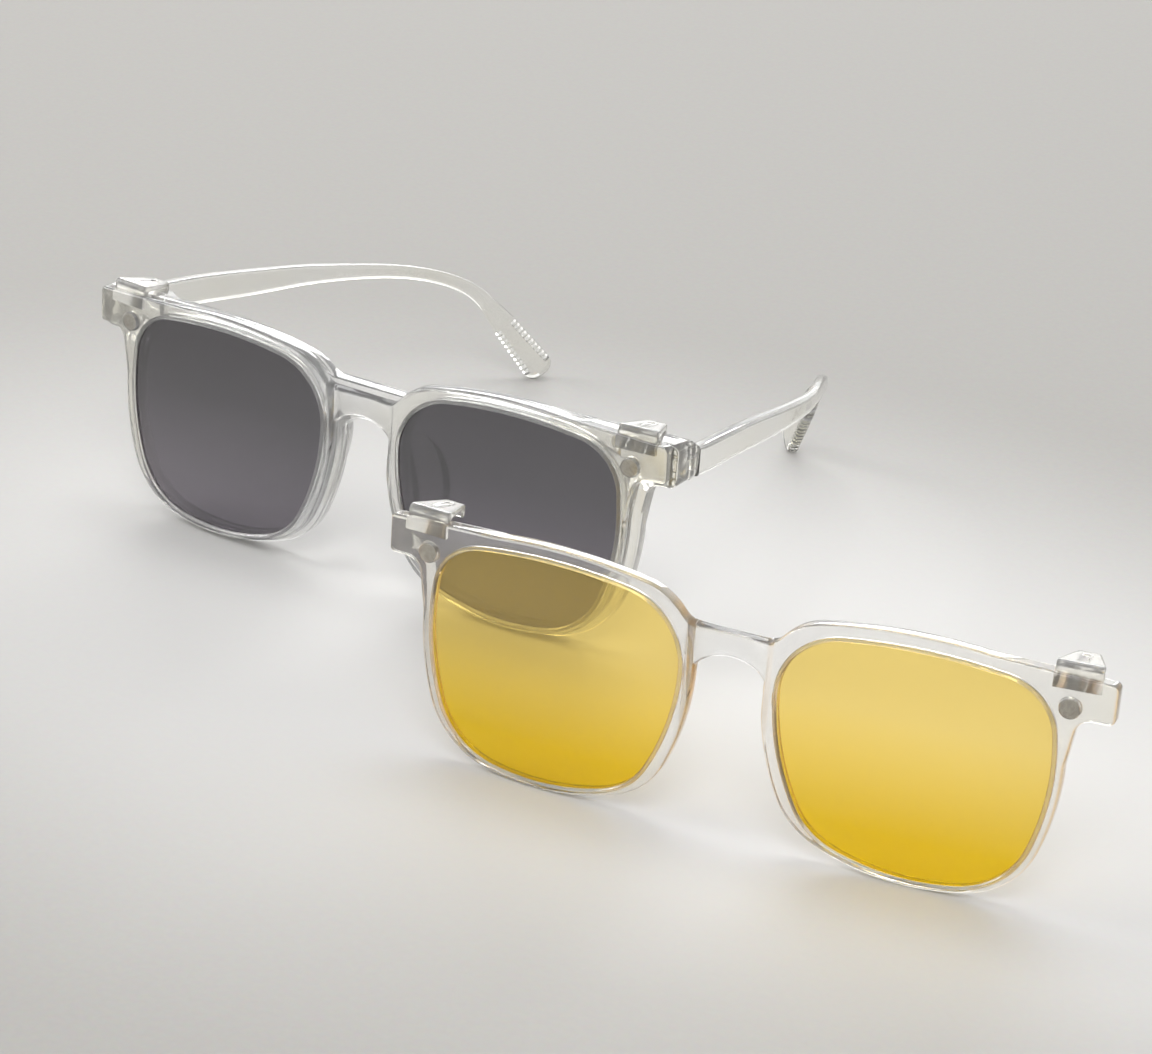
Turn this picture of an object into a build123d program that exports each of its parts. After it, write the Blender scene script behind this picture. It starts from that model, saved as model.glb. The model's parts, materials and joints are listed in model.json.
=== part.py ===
from build123d import *
import math
import os

# Clear moulded glasses with a magnetic tinted clip fitted on their front, and a spare clip of the
# same mould standing beside them. Lengths are millimetres. While the pieces are made, X runs to
# the wearer's left, Y to the back and Z up, with X zero on the glasses' middle plane, Y zero on the
# clip's front face there and Z zero on the datum line through the lenses. At the end the whole
# set is moved so that the origin is the middle of its footprint, on the surface that it stands on.

# Lens opening, as the frame and both clips share it
lens_width = 52.4
lens_height = 46.1
bridge_width = 20.0
lens_top = 22.2
top_side_radius = 101.0
outer_side_radius = 53.1
bottom_side_radius = 47.0
inner_side_radius = 49.5
top_outer_corner = 11.0
bottom_outer_corner = 15.8
bottom_inner_corner = 14.7
top_inner_corner = 13.4
# Where each side bulges most, as a share of the lens's width from the nose or height from its base
top_peak_share = 0.51
bottom_peak_share = 0.55
outer_peak_share = 0.614
inner_peak_share = 0.70

# The front's wrap: every layer of it is a part of a cylinder about one upright axis
front_curve_radius = 629.0
reach = 90.0
overrun = 2.0

# Clip frame
clip_end_reach = 10.4
clip_thickness = 2.8
clip_rim_top = 3.45
clip_rim_outer = 2.3
clip_rim_bottom = 1.4
clip_rim_inner = 3.1
clip_shoulder_corner = 13.0
clip_end_top = 23.6
clip_end_base = 15.6
clip_end_corner = 1.1
clip_bridge_top = 17.7
clip_arch_top = 12.4
clip_arch_rise = 3.2
clip_bevel = 0.4
underside_round = 3.0
bridge_round = 4.0
brow_start_share = 0.62
wing_root_height = 15.0

# Clip lens
clip_lens_thickness = 1.1
clip_lens_depth = 0.9
lens_groove = 0.9
seat_clearance = 0.05

# Magnets
magnet_offset = 2.05
magnet_z = 17.35
magnet_diameter = 4.0
magnet_thickness = 2.0
bond_clearance = 0.03

# Claw: a tab bonded in the clip's rear face, an arm over the frame's corner and a lip behind it
claw_offset = 2.9
claw_tab_width = 9.0
claw_tab_base = 21.1
claw_tab_thickness = 1.4
claw_top = 26.0
claw_arm_thickness = 1.45
claw_drop = 1.75
claw_lip_width = 4.2
claw_lip_thickness = 1.6
claw_lip_depth = 1.3
claw_round = 0.6
claw_lip_corner = 1.1
claw_slot_width = 1.6
claw_slot_depth = 0.5
claw_clearance = 0.3

# Front frame of the glasses
clip_gap = 0.25
frame_end_reach = 11.3
frame_thickness = 3.7
frame_rim_top = 2.2
frame_rim_outer = 3.7
frame_rim_bottom = 2.6
frame_rim_inner = 3.9
frame_end_top = 23.2
frame_end_corner = 1.6
frame_bridge_top = 18.8
frame_arch_top = 11.2
end_block_thickness = 7.2
end_block_overlap = 7.4
end_block_slope = 4.0
end_block_foot = 3.5
corner_round = 2.2
side_wall = 2.9

# Optical lens
optical_lens_thickness = 1.8

# Nose pad
pad_top = 11.5
pad_base = -14.0
pad_lean = 5.4
pad_root_inset = 1.6
pad_depth = 8.6
pad_flare_share = 0.30
pad_nose_bulge = 1.7
pad_lens_bulge = 1.0

# Hinge
hinge_inset = 3.0
hinge_y = 15.6
seam_y = 16.4
seam_gap = 0.2
knuckle_diameter = 4.0
knuckle_clearance = 0.2
knuckle_height = 2.6
knuckle_gap = 0.15
hinge_screw_diameter = 1.4
screw_clearance = 0.05
screw_head_diameter = 2.2
screw_head_height = 0.45

# Temple
temple_height = 6.8
temple_centre_z = 17.2
temple_thickness = 3.0
temple_round = 0.9
temple_run = 106.6
temple_inset = 26.4
temple_drop = 24.0
# Places along the temple, from its seam to the flat tip: share of its run, of its inset and of its
# drop, and how tall and how thick it is there as shares of what it is at the seam
temple_stations_shares = [
    (0.0, 0.0, 0.0, 1.0, 1.0),
    (0.145, 0.057, 0.083, 0.985, 0.98),
    (0.281, 0.112, 0.163, 0.94, 0.94),
    (0.394, 0.160, 0.238, 0.87, 0.9),
    (0.516, 0.220, 0.313, 0.735, 0.87),
    (0.619, 0.303, 0.383, 0.61, 0.84),
    (0.722, 0.436, 0.454, 0.52, 0.81),
    (0.816, 0.591, 0.538, 0.48, 0.79),
    (0.921, 0.773, 0.704, 0.49, 0.79),
    (0.967, 0.879, 0.829, 0.53, 0.81),
    (1.0, 1.0, 1.0, 0.6, 0.83),
]
tip_inset = 9.9
tip_run = 9.5
tip_drop = 16.8
tip_width = 8.0
tip_corner = 3.0
tip_bevel = 0.5
tip_shoulder_width = 6.0
tip_shoulder_share = 0.28
comb_teeth = 10
comb_pitch = 1.4
comb_gap = 0.7
comb_depth = 1.6

# The spare clip stands in front of the glasses, to the wearer's left, turned a little
spare_x = 119.35
spare_y = -51.26
spare_angle = 7.57

# Values that follow from those above
inner_x = bridge_width / 2
outer_x = inner_x + lens_width
lens_base = lens_top - lens_height
clip_half_width = outer_x + clip_end_reach
frame_half_width = outer_x + frame_end_reach
magnet_x = outer_x + magnet_offset
claw_x = outer_x + claw_offset
end_block_start = outer_x - end_block_overlap
pad_root_x = inner_x - pad_root_inset
hinge_x = frame_half_width - hinge_inset
frame_front = clip_thickness + clip_gap
frame_back = frame_front + frame_thickness
block_back = frame_front + end_block_thickness
floor_z = lens_base - frame_rim_bottom
hinge_screw_radius = hinge_screw_diameter / 2
temple_x = frame_half_width + seam_gap / 2 - temple_thickness / 2
temple_base = temple_centre_z - temple_height / 2
temple_top = temple_centre_z + temple_height / 2


def side_circles(top, outer, bottom, inner):
    """Centre and radius of the four long arcs round a lens, each moved out by its own width."""
    return [
        (inner_x + lens_width * top_peak_share, lens_top - top_side_radius, top_side_radius + top),
        (outer_x - outer_side_radius, lens_base + lens_height * outer_peak_share,
         outer_side_radius + outer),
        (inner_x + lens_width * bottom_peak_share, lens_base + bottom_side_radius,
         bottom_side_radius + bottom),
        (inner_x + inner_side_radius, lens_base + lens_height * inner_peak_share,
         inner_side_radius + inner),
    ]


def corner_centre(first, second, radius, towards):
    """Centre of a round that touches two of those arcs from inside, in the wanted corner."""
    first_reach = first[2] - radius
    second_reach = second[2] - radius
    gap = Vector(second[0] - first[0], second[1] - first[1])
    along = (gap.length**2 + first_reach**2 - second_reach**2) / (2 * gap.length)
    across = math.sqrt(first_reach**2 - along**2)
    line = gap.normalized()
    middle = Vector(first[0], first[1]) + line * along
    side = Vector(-line.Y, line.X) * across
    return max(middle + side, middle - side, key=lambda spot: spot.dot(Vector(towards)))


def rounded_outline(sides, radii):
    """Face inside four side arcs joined by tangent rounds, clockwise from the top side."""
    towards = [(1, 1), (1, -1), (-1, -1), (-1, 1)]
    corners = []
    for index, radius in enumerate(radii):
        following = sides[(index + 1) % len(sides)]
        corners.append(corner_centre(sides[index], following, radius, towards[index]))
    arcs = []
    for index, (x, z, radius) in enumerate(sides):
        centre = Vector(x, z)
        start = (corners[index - 1] - centre).normalized()
        end = (corners[index] - centre).normalized()
        following = sides[(index + 1) % len(sides)]
        turn = (corners[index] - Vector(following[0], following[1])).normalized()
        middle = (start + end).normalized()
        arcs.append(ThreePointArc(centre + start * radius, centre + middle * radius,
                                  centre + end * radius))
        corner = corners[index]
        middle = (end + turn).normalized()
        arcs.append(ThreePointArc(corner + end * radii[index], corner + middle * radii[index],
                                  corner + turn * radii[index]))
    return make_face(Curve() + arcs)


def lens_face(grow):
    """The lens opening of the left side, grown evenly."""
    radii = [top_outer_corner, bottom_outer_corner, bottom_inner_corner, top_inner_corner]
    return rounded_outline(side_circles(grow, grow, grow, grow), [r + grow for r in radii])


def both(shape):
    """A shape of the left side and its mirror image."""
    return shape + mirror(shape, Plane.YZ)


def prism(face):
    """A front view outline drawn out along Y, past every layer of the front."""
    return extrude(Plane.XZ.offset(overrun) * face, amount=-reach / 2)


def behind(depth):
    """All that lies behind the front curve moved back by a depth."""
    return Pos(0, front_curve_radius, 0) * Cylinder(front_curve_radius - depth, 2 * reach)


def layer(face, front, back):
    """The part of a front view outline between two depths of the curved front."""
    return (prism(face) & behind(front)) - behind(back)


def on_curve(x, z, depth):
    """A place on the curved front, with its Y axis square into the front."""
    angle = math.asin(x / front_curve_radius)
    radius = front_curve_radius - depth
    return Location((radius * math.sin(angle), front_curve_radius - radius * math.cos(angle), z),
                    (0, 0, math.degrees(angle)))


def disc(x, z, depth, thickness, diameter):
    """A round disc let into the curved front, from a depth backwards."""
    flat = Rot(-90, 0, 0) * Cylinder(diameter / 2, thickness, align=(Align.CENTER, Align.CENTER, Align.MIN))
    return on_curve(x, z, depth) * flat


def wing_face(half_width, brow_top, end_top, end_base, rim_outer, end_corner):
    """Brow and end piece of the left side, from over the lens to the outer end."""
    peak_x = inner_x + lens_width * top_peak_share
    inside_x = inner_x + lens_width * brow_start_share
    slope = (brow_top - end_top) / (half_width - peak_x)
    root_x = outer_x + rim_outer
    points = [
        (inside_x, brow_top - slope * (inside_x - peak_x)),
        (half_width, end_top),
        (half_width, end_base),
        (root_x + underside_round / 2, end_base),
        (root_x - underside_round / 4, end_base - wing_root_height),
        (inside_x, end_base - wing_root_height),
    ]
    return make_face(FilletPolyline(*points, close=True,
                                    radius=[0, end_corner, end_corner, underside_round, 0, 0]))


def bridge_face(rim_inner, top, arch_top, arch_rise):
    """Bridge between the rims, arched underneath."""
    half = inner_x - rim_inner
    arch_radius = (half**2 + arch_rise**2) / (2 * arch_rise)
    base = arch_top - arch_radius
    bar = Pos(0, (top + base) / 2) * Rectangle(2 * inner_x, top - base)
    return bar - Pos(0, base) * Circle(arch_radius)


def bridge_web(sides, shoulder, top):
    """The web that rounds the inside corner between the bridge's top and a rim's shoulder."""
    centre = corner_centre(sides[-1], sides[0], shoulder, (-1, 1))
    rise = top + bridge_round - centre.Y
    start = centre.X - math.sqrt((shoulder + bridge_round)**2 - rise**2)
    hollow = Vector(start, top + bridge_round)
    touch = hollow + (centre - hollow) * (bridge_round / (shoulder + bridge_round))
    web = make_face(Polyline((start, top), (touch.X, top), (touch.X, touch.Y), close=True))
    return web - Pos(hollow.X, hollow.Y) * Circle(bridge_round)


def bevel(solid, depth, size, least):
    """Bevel the edges of a curved plate that lie on its face at a depth."""
    radius_there = front_curve_radius - depth
    picked = []
    for edge in solid.edges():
        spots = [edge.position_at(share) for share in (0, 0.5, 1)]
        away = [abs(math.hypot(p.X, p.Y - front_curve_radius) - radius_there) for p in spots]
        if max(away) < least and edge.length > size:
            picked.append(edge)
    return chamfer(picked, size)


def clip_outline():
    """Front view of the clip's frame, with both lens openings."""
    radii = [top_outer_corner + clip_rim_outer, bottom_outer_corner + clip_rim_bottom,
             bottom_inner_corner + clip_rim_bottom, clip_shoulder_corner]
    sides = side_circles(clip_rim_top, clip_rim_outer, clip_rim_bottom, clip_rim_inner)
    rim = rounded_outline(sides, radii)
    wing = wing_face(clip_half_width, lens_top + clip_rim_top, clip_end_top, clip_end_base,
                     clip_rim_outer, clip_end_corner)
    bridge = bridge_face(clip_rim_inner, clip_bridge_top, clip_arch_top, clip_arch_rise)
    web = bridge_web(sides, clip_shoulder_corner, clip_bridge_top)
    return both(rim + wing + web) + bridge - both(lens_face(0))


def claw_place():
    """Where the left claw's tab meets the clip's rear face."""
    return on_curve(claw_x, 0, clip_thickness)


def claw_pocket():
    """The seat of the claw's tab, open at the clip's rear face and its top edge."""
    grow = bond_clearance
    depth = claw_tab_thickness + grow
    size = Box(claw_tab_width + 2 * grow, depth + overrun, reach,
               align=(Align.CENTER, Align.MIN, Align.MIN))
    return claw_place() * Pos(0, -depth, claw_tab_base - grow) * size


def arm_underside(depth):
    """Height of the underside of a claw's arm at a depth behind the clip's front face."""
    run = block_back + claw_clearance + claw_lip_thickness - clip_thickness
    return claw_top - claw_arm_thickness - claw_drop * (depth - clip_thickness) / run


def left_claw():
    """One claw: its tab, its tapered arm with a grip slot, and the lip that hooks the corner."""
    lip_front = block_back + claw_clearance - clip_thickness
    lip_back = lip_front + claw_lip_thickness
    lip_base = arm_underside(clip_thickness + lip_back) - claw_lip_depth
    side = make_face(Polyline(
        (-claw_tab_thickness, claw_tab_base),
        (-claw_tab_thickness, claw_top - claw_round),
        (-claw_tab_thickness + claw_round, claw_top),
        (0, claw_top),
        (lip_back - claw_round, claw_top - claw_drop),
        (lip_back, claw_top - claw_drop - claw_round),
        (lip_back, lip_base),
        (lip_front, lip_base),
        (lip_front, arm_underside(clip_thickness + lip_front)),
        (0, arm_underside(clip_thickness)),
        (0, claw_tab_base),
        close=True,
    ))
    half = claw_tab_width / 2
    lip_half = claw_lip_width / 2
    plan = make_face(FilletPolyline(
        (-half, -claw_tab_thickness - overrun),
        (half, -claw_tab_thickness - overrun),
        (half, clip_gap),
        (lip_half, lip_back),
        (-lip_half, lip_back),
        (-half, clip_gap),
        close=True,
        radius=[0, 0, 0, claw_lip_corner, claw_lip_corner, 0],
    ))
    body = extrude(Plane.YZ * side, amount=claw_tab_width, both=True) & extrude(plan, amount=reach)
    slope = math.degrees(math.atan(claw_drop / lip_back))
    slot = Rot(0, 0, 90) * SlotOverall(lip_front - claw_slot_width, claw_slot_width)
    middle = lip_front / 2
    place = Pos(0, middle, claw_top - claw_drop * middle / lip_back) * Rot(-slope, 0, 0)
    cut = extrude(slot, amount=claw_slot_depth, both=True)
    return claw_place() * (body - place * cut)


def left_clip_lens(depth, thickness, grow):
    """A thin lens that reaches into the groove round its opening."""
    return layer(lens_face(lens_groove + grow), depth - grow, depth + thickness + grow)


def clip_frame():
    """The clip's moulded frame: both rims, bridge and end pieces in one."""
    plate = layer(clip_outline(), 0, clip_thickness)
    plate = bevel(plate, 0, clip_bevel, clip_bevel / 10)
    seat = left_clip_lens(clip_lens_depth, clip_lens_thickness, seat_clearance)
    hole = disc(magnet_x, magnet_z, clip_thickness - magnet_thickness - bond_clearance,
                magnet_thickness + overrun, magnet_diameter + 2 * bond_clearance)
    return plate - both(seat + hole + claw_pocket())


def frame_outline():
    """Front view of the glasses' front, with both lens openings."""
    radii = [top_outer_corner + frame_rim_outer, bottom_outer_corner + frame_rim_bottom,
             bottom_inner_corner + frame_rim_bottom, clip_shoulder_corner]
    sides = side_circles(frame_rim_top, frame_rim_outer, frame_rim_bottom, frame_rim_inner)
    rim = rounded_outline(sides, radii)
    bridge = bridge_face(frame_rim_inner, frame_bridge_top, frame_arch_top, clip_arch_rise)
    web = bridge_web(sides, clip_shoulder_corner, frame_bridge_top)
    return both(rim + frame_wing() + web) + bridge - both(lens_face(0))


def frame_wing():
    """Front view of the frame's brow and end piece on the left."""
    return wing_face(frame_half_width, lens_top + frame_rim_top, frame_end_top, temple_base,
                     frame_rim_outer, frame_end_corner)


def knuckle(low, high, radius):
    """A round about the left hinge line, between two heights."""
    place = Pos(hinge_x, hinge_y, low)
    return place * Cylinder(radius, high - low, align=(Align.CENTER, Align.CENTER, Align.MIN))


def left_end_block():
    """The thick end piece of the front: a block behind the clip's end and a wall to the seam."""
    outside = frame_half_width
    start_sweep = end_block_start**2 / (2 * front_curve_radius)
    end_sweep = outside**2 / (2 * front_curve_radius)
    plan = make_face(Polyline(
        (end_block_start, 0),
        (outside, 0),
        (outside, reach),
        (end_block_start + end_block_slope, reach),
        (end_block_start + end_block_slope, block_back + start_sweep),
        (end_block_start, frame_back + start_sweep),
        close=True,
    ))
    wing = frame_wing() - lens_face(0)
    block = layer(wing, frame_front, block_back) & extrude(plan, amount=reach, both=True)
    wall = Pos(outside - side_wall, 0, 0) * Box(side_wall, seam_y, 2 * reach,
                                                align=(Align.MIN, Align.MIN, Align.CENTER))
    wall = (prism(wing) & wall) & behind(frame_front)
    far = outside - corner_round
    near = frame_front + end_sweep + corner_round
    corner = Pos(far, 0, 0) * Box(corner_round, near, 2 * reach,
                                  align=(Align.MIN, Align.MIN, Align.CENTER))
    corner = corner - Pos(far, near, 0) * Cylinder(corner_round, 2 * reach)
    return block + wall - corner


def block_top_cut():
    """The air over the end block, which falls away to the back so that a claw fits over it."""
    front_z = arm_underside(frame_front) - claw_clearance
    front_y = frame_front + claw_x**2 / (2 * front_curve_radius)
    back_y = block_back + claw_x**2 / (2 * front_curve_radius)
    profile = make_face(Polyline(
        (front_y - overrun, front_z),
        (front_y, front_z),
        (back_y, arm_underside(block_back) - claw_clearance),
        (seam_y, temple_top),
        (seam_y + overrun, temple_top),
        (seam_y + overrun, reach),
        (front_y - overrun, reach),
        close=True,
    ))
    return extrude(Plane.YZ.offset(end_block_start - overrun) * profile, amount=reach)


def block_foot_cut():
    """The air under the end block, whose underside slopes down to the rim's rear face."""
    front_y = frame_back + end_block_start**2 / (2 * front_curve_radius)
    back_y = block_back + end_block_start**2 / (2 * front_curve_radius)
    profile = make_face(Polyline(
        (front_y, temple_base - end_block_foot),
        (back_y, temple_base),
        (reach, temple_base),
        (reach, -reach),
        (front_y, -reach),
        close=True,
    ))
    slab = extrude(Plane.YZ.offset(end_block_start - overrun) * profile, amount=reach)
    return slab & behind(frame_back)


def front_frame():
    """The glasses' front in one moulding, with grooves, magnet holes and hinge knuckles."""
    plate = layer(frame_outline(), frame_front, frame_back)
    knuckles = knuckle(temple_base, temple_top, knuckle_diameter / 2)
    middle = knuckle_height / 2 + knuckle_gap
    gap = knuckle(temple_centre_z - middle, temple_centre_z + middle,
                  knuckle_diameter / 2 + knuckle_clearance)
    bore = knuckle(temple_base - overrun, temple_top + overrun, hinge_screw_radius)
    hole = disc(magnet_x, magnet_z, frame_front - overrun,
                magnet_thickness + bond_clearance + overrun, magnet_diameter + 2 * bond_clearance)
    seat = left_clip_lens(frame_front + (frame_thickness - optical_lens_thickness) / 2,
                          optical_lens_thickness, seat_clearance)
    ends = (left_end_block() - block_top_cut() - block_foot_cut()) + knuckles
    whole = plate - both(block_top_cut()) + both(ends)
    head_room = knuckle(temple_top, reach, screw_head_diameter / 2 + knuckle_clearance)
    return whole - both(gap + bore + hole + seat + head_room)


def left_hinge_screw():
    """The hinge's screw: a shank down the knuckles and a thin head on the upper one."""
    shank = knuckle(temple_base, temple_top, hinge_screw_radius)
    return shank + knuckle(temple_top, temple_top + screw_head_height, screw_head_diameter / 2)


def left_nose_pad():
    """A clear crescent pad behind the nasal rim, flaring outwards to the back."""
    start = (pad_root_x, pad_top)
    end = (pad_root_x + pad_lean, pad_base)
    outline = make_face(Curve() + [SagittaArc(start, end, -pad_nose_bulge),
                                   SagittaArc(start, end, pad_lens_bulge)])
    blank = extrude(Plane.XZ.offset(overrun - frame_back) * Pos(-pad_flare_share * overrun, 0) * outline,
                    amount=reach, dir=(pad_flare_share, 1, 0))
    half = (pad_top - pad_base) / 2
    radius = (half**2 + pad_depth**2) / (2 * pad_depth)
    centre = Pos(0, frame_back + pad_depth - radius, (pad_top + pad_base) / 2)
    back = centre * Rot(0, 90, 0) * Cylinder(radius, 2 * reach)
    return blank & behind(frame_back) & back


def temple_section(place, tangent, height, thickness):
    """A rounded section square across the temple, with its tall side upright."""
    level = Vector(tangent.Y, -tangent.X, 0)
    plane = Plane(origin=place, x_dir=level, z_dir=tangent)
    return plane * RectangleRounded(thickness, height, temple_round)


def tip_direction():
    """Direction down the left tip."""
    return Vector(-tip_inset, tip_run, -tip_drop).normalized()


def left_arm():
    """The left arm from the seam to the flat tip, lofted through rounded sections."""
    start = Vector(temple_x, seam_y + seam_gap, temple_centre_z)
    places = []
    for run, inset, drop, height, thickness in temple_stations_shares:
        places.append(start + Vector(-inset * temple_inset, run * temple_run, -drop * temple_drop))
    sections = []
    for index, (run, inset, drop, height, thickness) in enumerate(temple_stations_shares):
        if index == 0:
            tangent = Vector(0, 1, 0)
        elif index == len(places) - 1:
            tangent = tip_direction()
        else:
            tangent = (places[index + 1] - places[index - 1]).normalized()
        sections.append(temple_section(places[index], tangent, height * temple_height,
                                       thickness * temple_thickness))
    return loft(sections), places[-1]


def left_tip(root):
    """The flat ear tip, wider towards its rounded end, with a comb of notches on both edges."""
    down = tip_direction()
    level = Vector(down.Y, -down.X, 0).normalized()
    height, thickness = temple_stations_shares[-1][3:]
    root_half = height * temple_height / 2
    half = tip_width / 2
    thick = thickness * temple_thickness
    rise = abs(down.cross(level).Z)
    length = (root.Z - floor_z - (half - tip_corner) * rise - tip_corner) / -down.Z + tip_corner
    shoulder = length * tip_shoulder_share
    shoulder_half = tip_shoulder_width / 2
    points = [(0, -root_half), (0, root_half), (shoulder, shoulder_half), (length, half),
              (length, -half), (shoulder, -shoulder_half)]
    radii = [0, 0, tip_corner, tip_corner, tip_corner, tip_corner]
    flat = make_face(FilletPolyline(*points, close=True, radius=radii))
    plane = Plane(origin=root, x_dir=down, z_dir=level)
    tip = extrude(plane * flat, amount=thick / 2, both=True)
    rims = tip.edges().filter_by(Axis(root, level), reverse=True)
    tip = chamfer([edge for edge in rims if (edge.position_at(0.5) - root).dot(down) > tip_bevel], tip_bevel)
    notches = []
    for tooth in range(comb_teeth):
        along = length - tip_corner - tooth * comb_pitch
        side = half - (half - shoulder_half) * (length - along) / (length - shoulder)
        for edge in (side, -side):
            notch = Pos(along, edge) * Rectangle(comb_gap, 2 * comb_depth)
            notches.append(extrude(plane * notch, amount=thick, both=True))
    return tip - notches


def left_temple():
    """The left arm with its hinge knuckle, ear bend and comb tip in one moulding."""
    arm, root = left_arm()
    middle = knuckle_height / 2
    base = temple_base - overrun
    top = temple_top + overrun
    room = knuckle_diameter / 2 + knuckle_clearance
    scoop = knuckle(base, temple_centre_z - middle, room) + knuckle(temple_centre_z + middle, top, room)
    eye = knuckle(temple_centre_z - middle, temple_centre_z + middle, knuckle_diameter / 2)
    bore = knuckle(base, top, hinge_screw_radius + screw_clearance)
    return (arm - scoop) + eye + left_tip(root) - bore


def clip_pieces():
    """Every piece of one clip by its own name, in place on the glasses."""
    lens = left_clip_lens(clip_lens_depth, clip_lens_thickness, 0)
    magnet = disc(magnet_x, magnet_z, clip_thickness - magnet_thickness, magnet_thickness,
                  magnet_diameter)
    pieces = {"clip_frame": clip_frame()}
    for name, shape in {"lens": lens, "magnet": magnet, "claw": left_claw()}.items():
        pieces["left_" + name] = shape
        pieces["right_" + name] = mirror(shape, Plane.YZ)
    return pieces


def glasses_pieces():
    """Every piece of the glasses by its own name."""
    lens = left_clip_lens(frame_front + (frame_thickness - optical_lens_thickness) / 2,
                          optical_lens_thickness, 0)
    magnet = disc(magnet_x, magnet_z, frame_front, magnet_thickness, magnet_diameter)
    pieces = {"front_frame": front_frame()}
    shapes = {
        "optical_lens": lens,
        "nose_pad": left_nose_pad(),
        "frame_magnet": magnet,
        "hinge_screw": left_hinge_screw(),
        "temple": left_temple(),
    }
    for name, shape in shapes.items():
        pieces["left_" + name] = shape
        pieces["right_" + name] = mirror(shape, Plane.YZ)
    return pieces


def whole_set():
    """The glasses with the grey clip on, and the yellow clip standing beside them."""
    pieces = glasses_pieces()
    clip = clip_pieces()
    clip_base = lens_base - clip_rim_bottom
    beside = Location((spare_x, spare_y, floor_z - clip_base), (0, 0, spare_angle))
    for name, shape in clip.items():
        pieces["grey_" + name] = shape
        pieces["yellow_" + name] = beside * shape
    return pieces


def write_parts():
    """Move the set so that the middle of its footprint is the origin, and write every piece."""
    pieces = whole_set()
    boxes = [shape.bounding_box() for shape in pieces.values()]
    low = Vector(min(box.min.X for box in boxes), min(box.min.Y for box in boxes), floor_z)
    high = Vector(max(box.max.X for box in boxes), max(box.max.Y for box in boxes), floor_z)
    shift = (low + high) / -2
    print("moved by", tuple(round(value, 4) for value in shift))
    os.makedirs("parts", exist_ok=True)
    for name, shape in pieces.items():
        export_step(Location(shift) * shape, "parts/" + name + ".step")


write_parts()
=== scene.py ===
# %% [markdown]
# # Clear glasses with magnetic tinted clips
#
# The set is a pair of clear moulded glasses, a grey tinted clip that magnets hold on their front, and
# a spare yellow clip that stands beside them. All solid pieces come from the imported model, in
# metres, and this script gives them their camera, light and finishes.

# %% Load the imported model
import json
import math
import bpy
import bmesh
import numpy as np
from mathutils import Matrix, Vector


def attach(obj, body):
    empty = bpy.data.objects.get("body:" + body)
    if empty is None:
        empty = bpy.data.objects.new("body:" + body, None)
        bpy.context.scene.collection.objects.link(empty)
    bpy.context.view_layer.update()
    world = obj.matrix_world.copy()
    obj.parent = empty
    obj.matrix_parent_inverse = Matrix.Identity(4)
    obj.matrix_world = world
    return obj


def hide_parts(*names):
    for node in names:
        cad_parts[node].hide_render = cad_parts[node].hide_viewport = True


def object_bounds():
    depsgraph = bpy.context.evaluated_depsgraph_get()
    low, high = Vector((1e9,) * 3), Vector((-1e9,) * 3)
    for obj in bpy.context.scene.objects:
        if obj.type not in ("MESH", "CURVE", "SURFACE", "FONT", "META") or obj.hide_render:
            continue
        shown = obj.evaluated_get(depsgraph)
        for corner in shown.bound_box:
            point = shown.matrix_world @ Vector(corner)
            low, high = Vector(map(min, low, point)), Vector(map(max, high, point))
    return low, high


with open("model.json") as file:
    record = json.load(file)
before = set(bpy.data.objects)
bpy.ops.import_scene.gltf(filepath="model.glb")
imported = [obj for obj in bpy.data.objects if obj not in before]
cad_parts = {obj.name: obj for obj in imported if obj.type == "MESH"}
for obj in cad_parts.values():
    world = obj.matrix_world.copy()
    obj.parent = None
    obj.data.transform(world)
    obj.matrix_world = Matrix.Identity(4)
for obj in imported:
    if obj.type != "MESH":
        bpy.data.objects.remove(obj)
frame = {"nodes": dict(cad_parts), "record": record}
MM = 0.001
cad_low, cad_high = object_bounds()
size = [round((high - low) / MM, 1) for low, high in zip(cad_low, cad_high)]
print("pieces", len(frame["nodes"]), "size in mm", size)

# %% [markdown]
# The solids were drawn round the middle of the glasses: X to the wearer's left, Y to the back, with
# the middle of the fitted clip's front at zero and Z zero on the line through the lenses. The packed
# model stands on the middle of its footprint instead, so one vector carries a place from one measure
# to the other. The spare clip was drawn in the same measure, then moved and turned a little.

# %% Places in the makers' own measure
SET_MOVE = Vector((-58.553, -39.3504, 26.5))
SPARE_PLACE = Vector((119.35, -51.26, -1.2))
SPARE_TURN = math.radians(7.57)


def place(x, y, z):
    """A point measured in millimetres from the middle of the glasses, in the model's metres."""
    return (Vector((x, y, z)) + SET_MOVE) * MM


TO_MODEL = Matrix.Scale(MM, 4) @ Matrix.Translation(SET_MOVE)
OWN_MEASURE = {
    "grey": TO_MODEL,
    "yellow": TO_MODEL @ Matrix.Translation(SPARE_PLACE) @ Matrix.Rotation(SPARE_TURN, 4, "Z"),
}
print("middle of the glasses, in metres", [round(value, 4) for value in place(0, 0, 0)])

# %% [markdown]
# ## Camera
#
# A long lens looks down at about 23 degrees from the wearer's left. Its turn was worked out from the
# photograph: where the same points of both clips appear gives the direction of the camera's three
# axes. A small roll is part of that turn.

# %% Camera
PHOTO_WIDTH = 1152
FOCAL_PIXELS = 3610.3
SENSOR_MM = 36.0
NEAREST = 0.01

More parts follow.
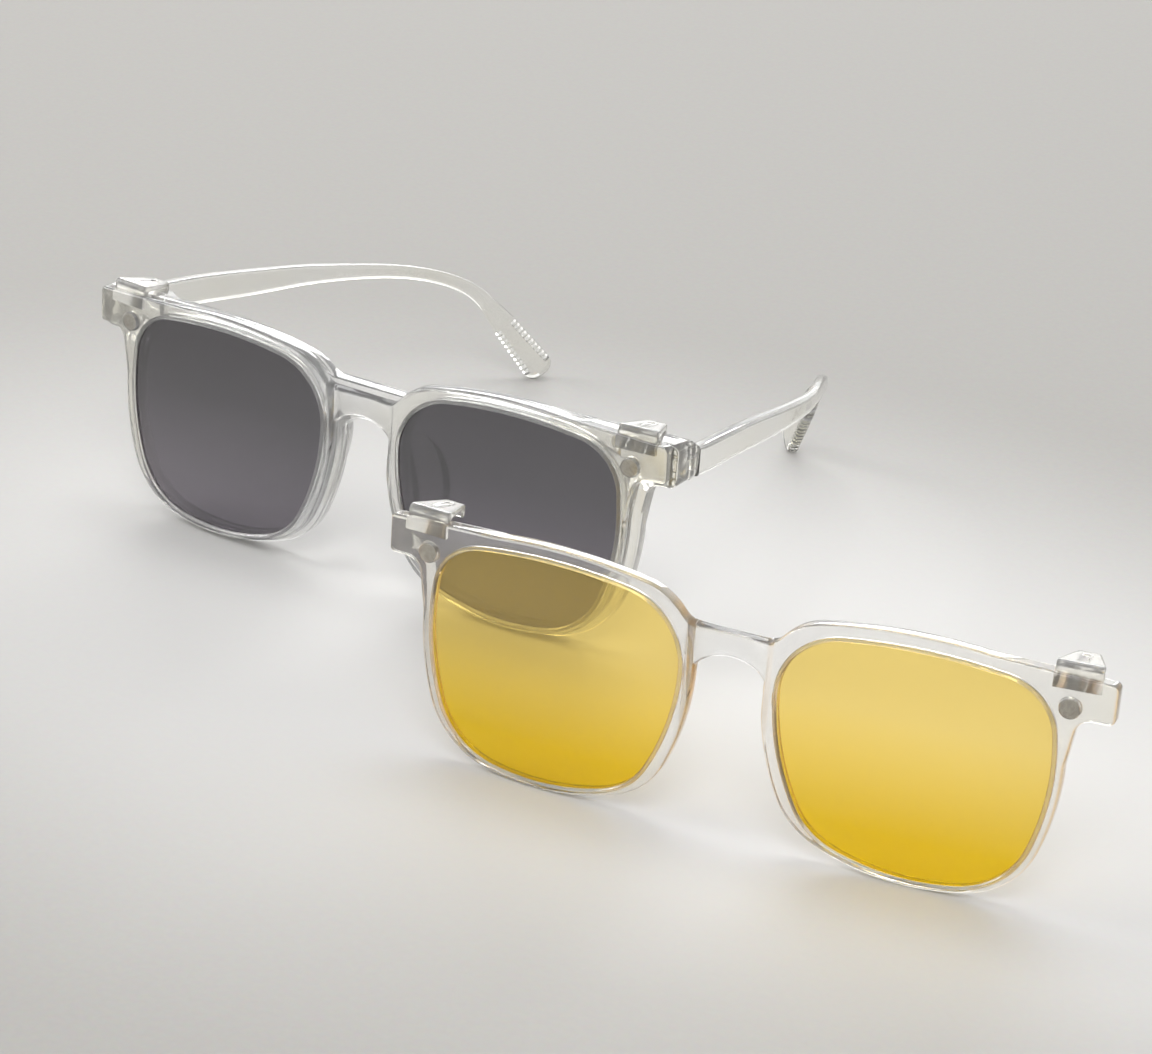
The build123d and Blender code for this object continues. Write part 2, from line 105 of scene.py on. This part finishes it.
camera_data = bpy.data.cameras.new("photo_camera")
camera = bpy.data.objects.new("photo_camera", camera_data)
bpy.context.scene.collection.objects.link(camera)
camera_data.sensor_width = SENSOR_MM
camera_data.lens = FOCAL_PIXELS * SENSOR_MM / PHOTO_WIDTH
camera_data.clip_start = NEAREST
right = Vector((0.84924, 0.52409, 0.06420)).normalized()
down = Vector((0.25860, -0.30684, -0.91595))
down = (down - right * down.dot(right)).normalized()
turn = Matrix((right, -down, right.cross(-down))).transposed()
camera.matrix_world = Matrix.Translation(place(397.82, -591.47, 297.79)) @ turn.to_4x4()
bpy.context.scene.camera = camera
bpy.context.scene.view_settings.view_transform = "Standard"
where = [round(value, 4) for value in camera.matrix_world.translation]
print("camera", where, "lens", round(camera_data.lens, 1), "mm")

# %% [markdown]
# ## Colour and node helpers
#
# Finishes are written as the hex values that a paint chart would give. Blender works with linear
# light, so one function turns each value. Another adds a node with its settings and its links.

# %% Helpers for finishes


def colour(text):
    """Linear red, green and blue of an sRGB hex value, and an alpha of 1."""
    raw = [int(text[i:i + 2], 16) / 255 for i in (1, 3, 5)]
    return [v / 12.92 if v <= 0.04045 else ((v + 0.055) / 1.055) ** 2.4 for v in raw] + [1.0]


def link(tree, made, **sources):
    """Link outputs to a node's sockets. An underscore stands for a space in a socket's name."""
    for name, source in sources.items():
        tree.links.new(source, made.inputs[name.replace("_", " ")])


def node(tree, kind, settings=None, **sources):
    """Add a node, set its fields, its sockets and its colour stops, and link its sockets."""
    made = tree.nodes.new(kind)
    for name, value in (settings or {}).items():
        if name == "stops":
            stops = made.color_ramp.elements
            for count, (position, text) in enumerate(value):
                stop = stops[count] if count < 2 else stops.new(position)
                stop.position, stop.color = position, colour(text)
        elif hasattr(made, name):
            setattr(made, name, value)
        else:
            made.inputs[name].default_value = value
    link(tree, made, **sources)
    return made


def finish(name, base, **settings):
    """A new material of one Principled shader, with its constant sockets set."""
    material = bpy.data.materials.new(name)
    material.use_nodes = True
    tree = material.node_tree
    shader = tree.nodes["Principled BSDF"]
    shader.inputs["Base Color"].default_value = colour(base)
    for socket, value in settings.items():
        shader.inputs[socket.replace("_", " ")].default_value = value
    return material, tree, shader


print("mid grey #808080 is", round(colour("#808080")[0], 3), "in linear light")

# %% [markdown]
# ## Floor and light
#
# The floor is one wide sheet of matt grey board, with a pool of light painted paler into its middle,
# where the set stands. Clear plastic shows only what it bends and mirrors, so the light decides its
# look. Four softboxes draw the white lines along the rounded edges, the widest of them from behind.
# The sky is brightest at the horizon and falls to grey overhead, which leaves a soft grey line beside
# each white one.

# %% Floor
FLOOR_REACH = 6.0
floor_mesh = bpy.data.meshes.new("floor")
corners = [(-FLOOR_REACH, -FLOOR_REACH, 0), (FLOOR_REACH, -FLOOR_REACH, 0),
           (FLOOR_REACH, FLOOR_REACH, 0), (-FLOOR_REACH, FLOOR_REACH, 0)]
floor_mesh.from_pydata(corners, [], [(0, 1, 2, 3)])
floor = bpy.data.objects.new("floor", floor_mesh)
bpy.context.scene.collection.objects.link(floor)
print("floor", 2 * FLOOR_REACH, "m wide")

# %% Matt grey board
# Uncoated board has hardly a sheen. Its paper fibres are far too fine to show from here, so they are
# drawn as flecks of 1.5 mm, which is as fine as still shows. The paler middle is a painted pool of
# light: an ellipse that fades out 0.3 m to each side and 0.2 m to the front and the back.
BOARD_GREY, PAINTED_POOL_PALE = "#b5b3af", "#e9e8e6"
FLECK_MM = 1.5
FLECK_SHARE = 0.06
PAINTED_POOL_MIDDLE, PAINTED_POOL_STRETCH = (-0.06, 0.18, 0), (3.3, 5.0, 1.0)

board, tree, shader = finish("matt_grey_board_painted_pool", BOARD_GREY, Roughness=0.7, Specular_IOR_Level=0.12)
spot = node(tree, "ShaderNodeTexCoord")
# Painted pool of light: the distance from the ellipse's middle sets how pale the board is painted.
painted_pool_place = node(tree, "ShaderNodeMapping", {"Location": PAINTED_POOL_MIDDLE, "Scale": PAINTED_POOL_STRETCH},
            Vector=spot.outputs["Object"])
painted_pool_distance = node(tree, "ShaderNodeVectorMath", {"operation": "LENGTH"}, Vector=painted_pool_place.outputs["Vector"])
pale = node(tree, "ShaderNodeValToRGB", {"stops": [(0.15, PAINTED_POOL_PALE), (1.0, BOARD_GREY)]},
            Fac=painted_pool_distance.outputs["Value"])
pale.color_ramp.interpolation = "EASE"
fibres = node(tree, "ShaderNodeTexNoise", {"Scale": 1 / (FLECK_MM * MM), "Detail": 3.0},
              Vector=spot.outputs["Object"])
fleck = node(tree, "ShaderNodeMix", {"data_type": "RGBA", "blend_type": "OVERLAY", "Factor": FLECK_SHARE},
             A=pale.outputs["Color"], B=fibres.outputs["Color"])
tooth = node(tree, "ShaderNodeBump", {"Strength": 0.08, "Distance": 0.1 * MM}, Height=fibres.outputs["Fac"])
link(tree, shader, Base_Color=fleck.outputs["Result"], Normal=tooth.outputs["Normal"])
floor_mesh.materials.append(board)
print("board", BOARD_GREY, "with a pale middle", PAINTED_POOL_PALE)

# %% Sky
SKY_STRENGTH = 1.35
world = bpy.data.worlds.new("studio")
bpy.context.scene.world = world
world.use_nodes = True
tree = world.node_tree
sky = tree.nodes["Background"]
spot = node(tree, "ShaderNodeTexCoord")
parts = node(tree, "ShaderNodeSeparateXYZ", Vector=spot.outputs["Generated"])
fade = node(tree, "ShaderNodeValToRGB", {"stops": [(0.0, "#ffffff"), (0.27, "#c8c8c8"), (1.0, "#828283")]},
            Fac=parts.outputs["Z"])
link(tree, sky, Color=fade.outputs["Color"])
sky.inputs["Strength"].default_value = SKY_STRENGTH
print("sky of strength", SKY_STRENGTH)

# %% Softboxes
SOFTBOXES = [
    # name, place in metres, width, height, watts
    ("back_softbox", (-1.0, 1.9, 1.1), 1.9, 0.85, 22),
    ("top_softbox", (-0.3, 0.3, 1.6), 0.9, 0.6, 6.5),
    ("left_softbox", (-1.6, -0.7, 1.0), 0.7, 0.7, 8),
    ("front_softbox", (0.6, -1.2, 1.5), 0.9, 0.7, 8),
]
for name, where, width, height, watts in SOFTBOXES:
    data = bpy.data.lights.new(name, "AREA")
    data.shape = "RECTANGLE"
    data.size, data.size_y, data.energy = width, height, watts
    lamp = bpy.data.objects.new(name, data)
    bpy.context.scene.collection.objects.link(lamp)
    look = (-Vector(where)).to_track_quat("-Z", "Y")
    lamp.matrix_world = Matrix.Translation(where) @ look.to_matrix().to_4x4()
    print(name, watts, "W")

# %% [markdown]
# ## Finished meshes in the scene
#
# Where a solid gets a finer mesh, the mesh takes its place: it moves with the same body, it fills the
# same material slot, and the solid is hidden.

# %% Putting a mesh in place of a solid


def show(name, mesh, body, stands_for, material):
    """Put a finished mesh in the scene, in place of a solid and moving with its body."""
    piece = bpy.data.objects.new(name, mesh)
    bpy.context.scene.collection.objects.link(piece)
    mesh.materials.clear()
    mesh.materials.append(material)
    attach(piece, body)
    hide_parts(stands_for)


# %% [markdown]
# ## The step in a clip's bridge
#
# The middle of a clip's bridge lies a little behind the front of its rims, with a short slope beside
# each rim and a lower top edge. Moving points is enough for that. Cuts along the ends of the slope
# come first, so that there are points where it starts and where it stops.

# %% A bridge set back
BRIDGE_FRONT = 0.8  # points in front of this depth belong to the front face and its edges


def step_bridge(work, measure, depth=1.1, fall=0.6, foot=7.2, lip=8.7, low=2.0, high=8.0, top=15.0):
    """Set the front of a clip's bridge back. In the clip's own measure, y grows by depth times a
    share, and above the top height z drops by fall times the same share. The share is the product of
    two: one is 1 up to the foot of the slope beside a rim and 0 from its lip, and the other rises
    from 0 at the low height to 1 at the high one."""
    across = (measure.to_3x3() @ Vector((1, 0, 0))).normalized()
    for x in (-lip, -foot, foot, lip):
        bmesh.ops.bisect_plane(work, geom=work.verts[:] + work.edges[:] + work.faces[:], dist=0.001 * MM,
                               plane_co=measure @ Vector((x, 0, 0)), plane_no=across)
    own, back = np.array(measure.inverted()), np.array(measure)
    points = np.array([vertex.co for vertex in work.verts]) @ own[:3, :3].T + own[:3, 3]
    share_x = np.clip((lip - np.abs(points[:, 0])) / (lip - foot), 0, 1)
    share_z = np.clip((points[:, 2] - low) / (high - low), 0, 1)
    share = share_x * share_z * (points[:, 1] < BRIDGE_FRONT)
    points[:, 1] += depth * share
    points[:, 2] -= fall * share * (points[:, 2] > top)
    for vertex, point in zip(work.verts, points @ back[:3, :3].T + back[:3, 3]):
        vertex.co = point
    print("bridge set back at", int((share > 0).sum()), "points")


# %% [markdown]
# ## Rounded edges
#
# A moulded frame has no sharp edge: the mould's corners are a few tenths of a millimetre round, and
# each round draws a white line of light. The solids have plain edges, so each frame gets a copy
# whose edges are rounded. The copy's loose triangles are merged first. An edge is rounded only where
# it runs on smoothly, because a round that meets a tight crossing of edges would fold over itself.

# %% Rounding a frame's edges
FRONT_ROUND_MM, CLIP_ROUND_MM = 0.45, 0.25
MERGE_MM = 0.002  # points nearer than this are one point


def runs_on(vertex, sharp, most=35):
    """True where exactly two sharp edges meet at a vertex and turn by less than some degrees."""
    met = [edge for edge in vertex.link_edges if edge in sharp]
    if len(met) != 2:
        return False
    ways = [(edge.other_vert(vertex).co - vertex.co).normalized() for edge in met]
    return ways[0].angle(ways[1]) > math.radians(180 - most)


def softened(name, width, measure=None, flat=1, corner=30, crease=28):
    """A copy of a solid's mesh, merged, the smooth runs of its sharp edges rounded by a width. Faces
    within the flat angle merge, and an edge is sharp beyond the corner angle, in degrees."""
    work = bmesh.new()
    work.from_mesh(frame["nodes"][name].data)
    bmesh.ops.remove_doubles(work, verts=work.verts, dist=MERGE_MM * MM)
    bmesh.ops.dissolve_limit(work, angle_limit=math.radians(flat), verts=work.verts, edges=work.edges)
    if measure:
        step_bridge(work, measure)
        work.normal_update()
    sharp = {edge for edge in work.edges if len(edge.link_faces) == 2
             and edge.calc_face_angle() > math.radians(corner)}
    stops = {vertex for edge in sharp for vertex in edge.verts if not runs_on(vertex, sharp)}
    runs = [edge for edge in work.edges if edge in sharp and not stops.intersection(edge.verts)]
    bmesh.ops.bevel(work, geom=runs, offset=width * MM, offset_type="OFFSET", segments=3,
                    profile=0.5, affect="EDGES", clamp_overlap=False)
    mesh = bpy.data.meshes.new(name + "_softened")
    work.to_mesh(mesh)
    work.free()
    mesh.polygons.foreach_set("use_smooth", np.ones(len(mesh.polygons), bool))
    mesh.set_sharp_from_angle(angle=math.radians(crease))
    print(name, "rounded", len(runs), "of", len(sharp), "edges,", len(mesh.polygons), "faces")
    return mesh


# %% [markdown]
# ## Ivory ends and painted lens light
#
# Two colours in the clear plastic depend on the place. The thick end pieces look ivory, because the
# light passes more plastic there. The walls of the yellow clip are painted amber. This is painted light:
# it stands for the coloured light that the yellow lenses send into the rim. Both are kept as numbers
# on the mesh, so that the colour stays with the piece.

# %% Ivory and painted lens light as attributes
IVORY_FROM_MM, IVORY_TO_MM = 54, 72
LENS_LIGHT_FROM, LENS_LIGHT_TO = 0.35, 0.75


def note_ivory_and_lens_light(mesh, measure, lens_light_share):
    """Write ends on points and the painted lens light on faces. Ends eases from 0 to 1 between two
    distances from the middle. The painted lens light goes evenly from 0 to its given share with how far
    a face looks sideways."""
    to_own = np.array(measure.inverted())
    points = np.empty(len(mesh.vertices) * 3)
    mesh.vertices.foreach_get("co", points)
    out = np.abs(points.reshape(-1, 3) @ to_own[0, :3] + to_own[0, 3])
    share = np.clip((out - IVORY_FROM_MM) / (IVORY_TO_MM - IVORY_FROM_MM), 0, 1)
    eased = share * share * (3 - 2 * share)
    mesh.attributes.new("ends", "FLOAT", "POINT").data.foreach_set("value", eased)
    normals = np.empty(len(mesh.polygons) * 3)
    mesh.polygons.foreach_get("normal", normals)
    across = to_own[0, :3] / np.linalg.norm(to_own[0, :3])
    sideways = np.abs(normals.reshape(-1, 3) @ across)
    # Painted light: faces that look sideways get a share of the yellow lenses' amber light, painted on.
    side = np.clip((sideways - LENS_LIGHT_FROM) / (LENS_LIGHT_TO - LENS_LIGHT_FROM), 0, 1) * lens_light_share
    mesh.attributes.new("painted_lens_light", "FLOAT", "FACE").data.foreach_set("value", side)
    print(mesh.name, "ivory points", int((share > 0.5).sum()), "amber faces", int((side > 0.5).sum()))


# %% [markdown]
# ## Claws
#
# The claws that hook over the frame are small mouldings with hardly an edge left on them: the plastic
# shrinks as it cools and every corner draws in. Rebuilding the solid as an even skin of small faces
# and letting each point move towards the middle of its neighbours gives that melted look.

# %% Melted outline
CLAW_CELL_MM, CLAW_PASSES = 0.16, 40


def melted(name, cell, passes):
    """A copy of a solid as an even skin of a cell's width, each point drawn to its neighbours' middle."""
    mesh = frame["nodes"][name].data.copy()
    carrier = bpy.data.objects.new(name + "_melted", mesh)
    bpy.context.scene.collection.objects.link(carrier)
    weld = carrier.modifiers.new("weld", "WELD")
    weld.merge_threshold = MERGE_MM * MM
    skin = carrier.modifiers.new("skin", "REMESH")
    skin.mode, skin.voxel_size = "VOXEL", cell * MM
    ease = carrier.modifiers.new("ease", "SMOOTH")
    ease.factor, ease.iterations = 0.5, passes
    ready = carrier.evaluated_get(bpy.context.evaluated_depsgraph_get())
    result = bpy.data.meshes.new_from_object(ready)
    bpy.data.objects.remove(carrier)
    result.polygons.foreach_set("use_smooth", np.ones(len(result.polygons), bool))
    print(name, "melted into", len(result.polygons), "faces")
    return result


# %% [markdown]
# ## Magnets
#
# Each end piece holds a sintered magnet disc, nickel plated and tumbled, so its rim is round. A disc
# is a profile turned about its axis. The axis comes from the solid's own points: it is the direction
# in which they spread least.

# %% Turned discs


def disc_axis(name):
    """Middle, axis, radius and half thickness of a disc, from the spread of its solid's points."""
    mesh = frame["nodes"][name].data
    points = np.empty(len(mesh.vertices) * 3)
    mesh.vertices.foreach_get("co", points)
    points = np.unique(np.round(points.reshape(-1, 3), 7), axis=0)
    centre = (points.min(axis=0) + points.max(axis=0)) / 2
    axis = np.linalg.svd(points - points.mean(axis=0))[2][2]
    axis = axis * -np.sign(axis[1])
    along = (points - centre) @ axis
    out = np.linalg.norm(points - centre - along[:, None] * axis, axis=1)
    return centre, axis, out.max(), np.abs(along).max()


def turned(name, centre, axis, radii, heights, steps=48, crease=40):
    """Carry a profile of radii and heights round an axis: point (i, j) is the centre, plus the axis
    times height i, plus radius i times the unit direction at j turns of 360 / steps degrees."""
    side = np.cross(axis, (0.0, 0.0, 1.0))
    side /= np.linalg.norm(side)
    up = np.cross(side, axis)
    angle = np.linspace(0, 2 * np.pi, steps, endpoint=False)
    ring = np.cos(angle)[:, None] * side + np.sin(angle)[:, None] * up
    grid = centre + np.asarray(heights)[:, None, None] * axis + np.asarray(radii)[:, None, None] * ring
    rows = len(radii)
    i, j = np.meshgrid(np.arange(rows - 1), np.arange(steps), indexing="ij")
    k = (j + 1) % steps
    quads = np.stack([i * steps + j, i * steps + k, (i + 1) * steps + k, (i + 1) * steps + j], axis=-1)
    mesh = bpy.data.meshes.new(name)
    caps = [tuple(range(steps))[::-1], tuple(range((rows - 1) * steps, rows * steps))]
    mesh.from_pydata(grid.reshape(-1, 3).tolist(), [], quads.reshape(-1, 4).tolist() + caps)
    work = bmesh.new()
    work.from_mesh(mesh)
    bmesh.ops.recalc_face_normals(work, faces=work.faces)
    work.to_mesh(mesh)
    work.free()
    mesh.polygons.foreach_set("use_smooth", np.ones(len(mesh.polygons), bool))
    mesh.set_sharp_from_angle(angle=math.radians(crease))
    return mesh


# %% Magnet discs
DISH_RADII, DISH_DEPTHS = np.array([0.2, 0.5, 0.75]), np.array([1.0, 0.9, 0.35])


def magnet_disc(name, rim=0.3, dish=0.06, rim_points=6):
    """A disc inside its solid's own size. The rim's round is a quarter circle at each face, and each
    face is a dish whose depth is a share of the dish's own at three shares of the flat radius."""
    centre, axis, radius, half = disc_axis(name)
    quarter = np.linspace(0, np.pi / 2, rim_points)
    edge = rim * MM
    rim_radii = radius - edge + edge * np.sin(quarter)
    rim_heights = half - edge + edge * np.cos(quarter)
    dish_radii = DISH_RADII * (radius - edge)
    dish_heights = half - dish * MM * DISH_DEPTHS
    radii = np.concatenate([dish_radii, rim_radii, rim_radii[::-1], dish_radii[::-1]])
    heights = np.concatenate([dish_heights, rim_heights, -rim_heights[::-1], -dish_heights[::-1]])
    print(name, "disc", round(2 * radius / MM, 2), "mm across,", round(2 * half / MM, 2), "mm thick")
    return turned(name + "_disc", centre, axis, radii, heights)


# %% [markdown]
# ## Clear moulded plastic
#
# The frames are polycarbonate, moulded clear and polished. It bends light much like glass (index of
# refraction about 1.58 for the frames and claws, less for the temples and pads), but about a tenth
# of the light scatters inside it, which gives the pale body that shows against grey board. The
# polish acts as a thin coat with its own sharp mirror. A slow change of tint stands for the
# moulding's flow, and the two attributes add the ivory ends and the painted amber light on the
# yellow clip's walls.

# %% A clear plastic
# The amber is painted light, the yellow lenses' coloured light painted on the yellow clip's walls. The ivory
# is the tint of thick plastic.
IVORY, PAINTED_LENS_AMBER = "#fdfbf2", "#f3c78c"
SCATTER_MM = 8
RIPPLE_MM = 6


def clear_plastic(name, pale, warm, index, see_through, roughness, flow_mm):
    """Clear plastic: two tints mixed by a slow noise of the flow's size, ivory ends and the painted light
    of the yellow lenses where the mesh says so, a faint ripple, and its index of refraction."""
    material, tree, shader = finish(
        name, pale, Roughness=roughness, IOR=index, Transmission_Weight=see_through,
        Subsurface_Weight=1.0, Subsurface_Radius=(1.0, 1.0, 1.0), Subsurface_Scale=SCATTER_MM * MM,
        Coat_Weight=0.6, Coat_Roughness=0.02)
    spot = node(tree, "ShaderNodeTexCoord")
    flow = node(tree, "ShaderNodeTexNoise", {"Scale": 1 / (flow_mm * MM), "Detail": 2.0},
                Vector=spot.outputs["Object"])
    tint = node(tree, "ShaderNodeValToRGB", {"stops": [(0.35, pale), (0.7, warm)]}, Fac=flow.outputs["Fac"])
    ends = node(tree, "ShaderNodeAttribute", {"attribute_name": "ends"})
    ivory = node(tree, "ShaderNodeMix", {"data_type": "RGBA", "B": colour(IVORY)},
                 Factor=ends.outputs["Fac"], A=tint.outputs["Color"])
    # Painted light: amber mixed in on the faces marked for the yellow lenses' coloured light.
    painted_lens_light = node(tree, "ShaderNodeAttribute", {"attribute_name": "painted_lens_light"})
    lens_light_amber = node(tree, "ShaderNodeMix", {"data_type": "RGBA", "B": colour(PAINTED_LENS_AMBER)},
                 Factor=painted_lens_light.outputs["Fac"], A=ivory.outputs["Result"])
    ripple = node(tree, "ShaderNodeTexNoise", {"Scale": 1 / (RIPPLE_MM * MM), "Detail": 1.0},
                  Vector=spot.outputs["Object"])
    bump = node(tree, "ShaderNodeBump", {"Strength": 0.12, "Distance": 0.1 * MM},
                Height=ripple.outputs["Fac"])
    link(tree, shader, Base_Color=lens_light_amber.outputs["Result"], Normal=bump.outputs["Normal"])
    print(name, "index", index, "see-through share", see_through)
    return material


# %% The four clear plastics
# Both frames are water-clear polycarbonate, polished in the mould. The temples are a softer, clearer
# plastic that bends light less. The claws are the warmest and the cloudiest, and the pads are soft,
# with a slightly dull skin that blurs what is seen through them.
crystal = clear_plastic("clear_polycarbonate", "#ffffff", "#fefdf8", 1.58, 0.9, 0.02, 25)
temple_clear = clear_plastic("clear_nylon", "#fefefb", "#fbf9ee", 1.49, 0.96, 0.02, 30)
claw_clear = clear_plastic("warm_clear_polycarbonate", "#fffef8", "#fdfaee", 1.58, 0.86, 0.04, 3)
pad_clear = clear_plastic("clear_soft_pad", "#fbfbfa", "#f8f7f0", 1.45, 0.9, 0.1, 12)

# %% [markdown]
# ## Lenses
#
# The tinted lenses are dyed sheet with a polarising film. Their colour is in the sheet, so it tints
# all that is seen through them. The tint is deeper towards the base of the yellow lens and darker
# towards the top of the grey one. The grey lens has a hard mirror coat, which shows the room. The
# yellow dye throws back about a tenth of the light, so it stays bright in front of a dark lens.

# %% Dyed lenses
LENS_HALF_HEIGHT_MM = 23
PEEL_MM = 9


def dyed_lens(name, top, base, see_through, coat_weight, coat_index):
    """Dyed lens sheet whose tint changes evenly from its base to its top."""
    material, tree, shader = finish(name, base, Roughness=0.01, IOR=1.5, Transmission_Weight=see_through,
                                    Coat_Weight=coat_weight, Coat_Roughness=0.01, Coat_IOR=coat_index)
    spot = node(tree, "ShaderNodeTexCoord")
    parts = node(tree, "ShaderNodeSeparateXYZ", Vector=spot.outputs["Object"])
    low, high = (SET_MOVE.z - LENS_HALF_HEIGHT_MM) * MM, (SET_MOVE.z + LENS_HALF_HEIGHT_MM) * MM
    height = node(tree, "ShaderNodeMapRange", {"From Min": low, "From Max": high}, Value=parts.outputs["Z"])
    tint = node(tree, "ShaderNodeValToRGB", {"stops": [(0.12, base), (0.65, top)]},
                Fac=height.outputs["Result"])
    peel = node(tree, "ShaderNodeTexNoise", {"Scale": 1 / (PEEL_MM * MM), "Detail": 1.0},
                Vector=spot.outputs["Object"])
    wave = node(tree, "ShaderNodeBump", {"Strength": 0.05, "Distance": 0.1 * MM}, Height=peel.outputs["Fac"])
    link(tree, shader, Base_Color=tint.outputs["Color"], Normal=wave.outputs["Normal"])
    print(name, "from", base, "at its base to", top, "at its top")
    return material


grey_tint = dyed_lens("smoke_grey_lens", "#444048", "#6c6470", 0.99, 1.0, 1.7)
yellow_tint = dyed_lens("yellow_lens", "#ffe486", "#ffd80c", 0.88, 0.0, 1.4)

# %% Clear optical lens
# Cast clear resin, ground and polished. Its thin film against reflections leaves a cast of green that
# drifts slowly across the lens.
FILM_MM = 20
optical, tree, shader = finish("clear_optical_lens", "#fdfefe", Roughness=0.0, IOR=1.5,
                               Transmission_Weight=1.0)
spot = node(tree, "ShaderNodeTexCoord")
film = node(tree, "ShaderNodeTexNoise", {"Scale": 1 / (FILM_MM * MM), "Detail": 1.0},
            Vector=spot.outputs["Object"])
cast = node(tree, "ShaderNodeValToRGB", {"stops": [(0.0, "#f9fdfb"), (1.0, "#fefefe")]},
            Fac=film.outputs["Fac"])
link(tree, shader, Base_Color=cast.outputs["Color"])
print(optical.name, "film patches of", FILM_MM, "mm")

# %% [markdown]
# ## Metal
#
# The magnets are nickel plated and tumbled in a drum, which leaves them bright but faintly mottled:
# a noise moves both the tone and the roughness. The hinge screws are blackened steel, turned on a
# lathe, so their fine streaks run round the screw: a noise squeezed along the screw's length.

# %% Tumbled nickel
DENT_MM = 0.7
nickel, tree, shader = finish("nickel_plated_magnet", "#b9b3aa", Metallic=1.0)
spot = node(tree, "ShaderNodeTexCoord")
dents = node(tree, "ShaderNodeTexNoise", {"Scale": 1 / (DENT_MM * MM), "Detail": 3.0},
             Vector=spot.outputs["Object"])
tone = node(tree, "ShaderNodeValToRGB", {"stops": [(0.3, "#9c958b"), (0.7, "#c9c4bb")]},
            Fac=dents.outputs["Fac"])
dull = node(tree, "ShaderNodeMapRange", {"To Min": 0.22, "To Max": 0.42}, Value=dents.outputs["Fac"])
bump = node(tree, "ShaderNodeBump", {"Strength": 0.2, "Distance": 0.03 * MM}, Height=dents.outputs["Fac"])
link(tree, shader, Base_Color=tone.outputs["Color"], Roughness=dull.outputs["Result"],
     Normal=bump.outputs["Normal"])
print(nickel.name, "dents of", DENT_MM, "mm")

# %% Blackened steel
STREAK_MM, STREAK_SQUEEZE = 0.6, (0.15, 0.15, 4.0)
dark_steel, tree, shader = finish("blackened_screw_steel", "#4a4644", Metallic=1.0)
spot = node(tree, "ShaderNodeTexCoord")
lathe = node(tree, "ShaderNodeMapping", {"Scale": STREAK_SQUEEZE}, Vector=spot.outputs["Object"])
streaks = node(tree, "ShaderNodeTexNoise", {"Scale": 1 / (STREAK_MM * MM), "Detail": 2.0},
               Vector=lathe.outputs["Vector"])
tone = node(tree, "ShaderNodeValToRGB", {"stops": [(0.0, "#3b3836"), (1.0, "#6a6562")]},
            Fac=streaks.outputs["Fac"])
dull = node(tree, "ShaderNodeMapRange", {"To Min": 0.25, "To Max": 0.45}, Value=streaks.outputs["Fac"])
link(tree, shader, Base_Color=tone.outputs["Color"], Roughness=dull.outputs["Result"])
print(dark_steel.name, "streaks of", round(STREAK_MM / STREAK_SQUEEZE[2], 2), "mm")

# %% [markdown]
# ## Finishes on the pieces
#
# The record names a material slot for each piece. Frames, claws and magnets get their finer meshes,
# and the other pieces keep the solid's own mesh.

# %% Finishes on the solids
FINISH = {
    "crystal_plastic": crystal, "temple_plastic": temple_clear, "claw_plastic": claw_clear,
    "pad_plastic": pad_clear, "clear_lens": optical, "grey_lens": grey_tint, "yellow_lens": yellow_tint,
    "magnet": nickel, "screw_steel": dark_steel,
}
body_of = {piece: body for body, pieces in frame["record"]["behaviour"]["bodies"].items() for piece in pieces}
for subpart in frame["record"]["subparts"]:
    name, slot = subpart["node"], subpart["material_slot"]
    body, material = body_of[name], FINISH[slot]
    solid = frame["nodes"][name]
    solid.data.materials.clear()
    solid.data.materials.append(material)
    if slot == "claw_plastic":
        show(name + "_melted", melted(name, CLAW_CELL_MM, CLAW_PASSES), body, name, material)
    elif slot == "magnet":
        show(name + "_disc", magnet_disc(name), body, name, material)
    elif slot == "crystal_plastic":
        width = FRONT_ROUND_MM if name == "front_frame" else CLIP_ROUND_MM
        measure = OWN_MEASURE.get(name.split("_")[0])
        mesh = softened(name, width, measure=measure)
        # Only the yellow clip gets the painted amber lens light on its walls.
        note_ivory_and_lens_light(mesh, measure or TO_MODEL, 1.0 if name.startswith("yellow") else 0.0)
        show(name + "_softened", mesh, body, name, material)
